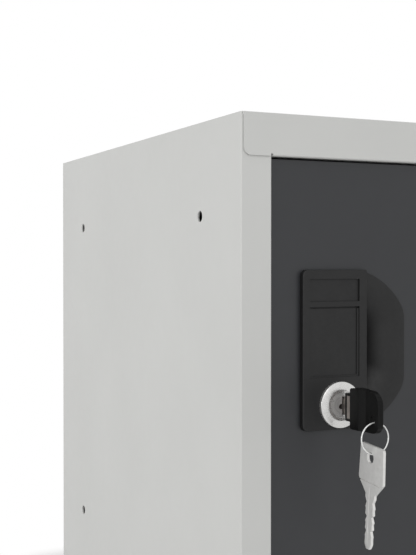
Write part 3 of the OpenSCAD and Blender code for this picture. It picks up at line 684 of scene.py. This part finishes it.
def make_plate():
    """The CAD handle up to the plate's right edge, with soft front edges."""
    shape = copy_of("door_handle")
    everything = shape.verts[:] + shape.edges[:] + shape.faces[:]
    bmesh.ops.bisect_plane(shape, geom=everything, dist=SAME / 10, clear_outer=True,
                           plane_co=(plate_right + CUT_BEYOND, 0, 0), plane_no=(1, 0, 0))
    join_flat_faces(shape)
    left = handle_box[0].x
    low, high = handle_box[0].z, handle_box[1].z

    def on_rim(edge):
        """Whether the edge is part of the outline of the plate's front."""
        ends = [vert.co for vert in edge.verts]
        inside = [min(co.x - left, plate_right - co.x, co.z - low, high - co.z) for co in ends]
        return all(co.y < plate_y + NEAR for co in ends) and max(inside) < PLATE_RIM

    def untouched(edge):
        """Whether the edge isn't part of a rounding."""
        return all(face.material_index != ROUNDED for face in edge.link_faces)

    round_edges(shape, PLATE_SOFT, segments=3, where=on_rim)
    round_edges(shape, PLATE_EDGE, where=untouched)
    return add_piece("handle_plate", shape, "door_handle", "black_plastic")


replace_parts(make_plate(), "door_handle")
make_wing()


# ---------------------------------------------------------------- lock and keys

PLUG_R = 6.3 * MM
PLUG_RIM = 0.25 * MM         # the bevel round the plug's face
PLUG_DISH = 0.5 * MM         # how much deeper the dish is at the plug's middle than at its edge
PLUG_EDGE_IN = 0.1 * MM      # and how deep at its edge
GROOVE_R = 1.15 * MM         # radius of the round groove in the keyway
GROOVE_DROP = 0.9 * MM       # of the groove's centre below the plug's axis
GROOVE_GROWN = 1.25          # how much wider the groove is here
RING_WIRE_R = 0.35 * MM

SPARE_TILT = 4.5             # degrees
SPARE_T = 1.8 * MM           # the spare key's thickness
SPARE_THIN = 0.8             # and how much of it is left here
SPARE_HOLE_IN = 1.1 * MM     # of its hole beside its middle
SPARE_HOLE_Z = 129.405 * MM
SPARE_ROOT = -18 * MM        # where its bow ends, below its hole
STEP_DEPTH = 0.25 * MM       # of the milled step across its bow
STEP_DEEPER = 0.35 * MM      # and how much deeper the step is here
GUIDE_DEPTH = 0.4 * MM       # of the groove along its blade
GUIDE_SHALLOWER = 0.25 * MM  # and how much shallower the groove is here
GUIDE_RUN = 3.5 * MM         # of the groove into the bow, at most
BLADE_LENGTH = 27.5 * MM
BLADE_ROOT = 9.2 * MM        # height of the blade at its root
BLADE_TIP = 6.8 * MM         # and at its tip
BLADE_SLIM = 0.84            # and how much of it is left here
BLADE_RUN = 0.5 * MM         # of the blade's vertices above the root, at most
CUTS_FROM_TIP = 2.5 * MM     # where the cuts begin
CUTS_TO_ROOT = 1 * MM        # and end
CUT_DEEPEST = 1.3 * MM       # of the cuts in the CAD part, at most
CUT_DEEPER = 1.7             # how much deeper they are here

face_y = lock_box[0].y
ring_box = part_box("key_ring")
spare_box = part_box("spare_key")
spare_x = (spare_box[0].x + spare_box[1].x) / 2
spare_y = (ring_box[0].y + ring_box[1].y) / 2


def dish_plug(shape):
    """Runs the plug's face on into the dish round it, and widens the groove on its axis."""
    groove = Vector((lock_centre.x, 0, lock_centre.z - GROOVE_DROP))
    for vert in shape.verts:
        beside = Vector((vert.co.x, 0, vert.co.z)) - groove
        if abs(beside.length - GROOVE_R) < NEAR:
            vert.co += beside * (GROOVE_GROWN - 1)
        radius = math.hypot(vert.co.x - lock_centre.x, vert.co.z - lock_centre.z)
        if vert.co.y < face_y + PLUG_RIM + NEAR and radius > PLUG_R - 2 * PLUG_RIM - ON_ARC:
            vert.co.y = face_y + PLUG_EDGE_IN + PLUG_DISH * (1 - (radius / PLUG_R) ** 2)


def slim_spare_key(shape):
    """Slims the spare key's blade, thins its sheet and deepens its cuts and its milled step."""
    turn = math.radians(SPARE_TILT)
    hole = Vector((spare_x, spare_y, SPARE_HOLE_Z))
    for vert in shape.verts:
        local = vert.co - hole
        across = local.y * math.cos(turn) + local.z * math.sin(turn)
        along = -local.y * math.sin(turn) + local.z * math.cos(turn)
        if abs(local.x + SPARE_T / 2 - STEP_DEPTH) < NEAR and along > SPARE_ROOT:
            local.x += STEP_DEEPER
        if abs(local.x + SPARE_T / 2 - GUIDE_DEPTH) < NEAR and along < SPARE_ROOT + GUIDE_RUN:
            local.x -= GUIDE_SHALLOWER
        if along < SPARE_ROOT + BLADE_RUN:
            beside = across + SPARE_HOLE_IN
            from_tip = along - SPARE_ROOT + BLADE_LENGTH
            uncut = (BLADE_TIP + (BLADE_ROOT - BLADE_TIP) * from_tip / BLADE_LENGTH) / 2
            cut = uncut - abs(beside)
            among_cuts = CUTS_FROM_TIP < from_tip < BLADE_LENGTH - CUTS_TO_ROOT
            if among_cuts and -ON_ARC < cut < CUT_DEEPEST:
                beside = math.copysign(uncut - CUT_DEEPER * cut, beside)
            across = -SPARE_HOLE_IN + beside * BLADE_SLIM
        local.x *= SPARE_THIN
        vert.co = hole + Vector((local.x, across * math.cos(turn) - along * math.sin(turn),
                                 across * math.sin(turn) + along * math.cos(turn)))


def make_ring():
    """The round wire of the key ring, as a fine torus."""
    turns, sides = 96, 16
    centre = (ring_box[0] + ring_box[1]) / 2
    size = ring_box[1] - ring_box[0]
    middle_r = (size.x - size.y) / 2
    shape = bmesh.new()
    rings = []
    for k in range(turns):
        turn = 2 * math.pi * k / turns
        outward = Vector((math.cos(turn), 0, math.sin(turn)))
        ring = []
        for i in range(sides):
            angle = 2 * math.pi * i / sides
            out = middle_r + RING_WIRE_R * math.cos(angle)
            back = Vector((0, RING_WIRE_R * math.sin(angle), 0))
            ring.append(shape.verts.new(centre + outward * out + back))
        rings.append(ring)
    bridge(shape, rings + rings[:1], closed=True)
    bmesh.ops.recalc_face_normals(shape, faces=shape.faces)
    return add_piece("key_ring_wire", shape, "key_ring", "key_nickel", RING_WIRE)


finished("lock_housing", "lock_chrome", edge=0.05 * MM)
finished("lock_plug", "lock_chrome", edge=0.04 * MM, reshape=dish_plug, finish=TURNED_CHROME)
finished("key_blade", "key_nickel", edge=0.1 * MM, finish=BLADE_NICKEL)
# the key's head takes the painted-shade copy of the black plastic
finished("key_head", "black_plastic", edge=0.4 * MM, segments=3, angle=15, finish=SHADED_HEAD_BLACK, crease=12)
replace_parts(make_ring(), "key_ring")
finished("spare_key", "key_nickel", edge=0.3 * MM, segments=3, reshape=slim_spare_key)
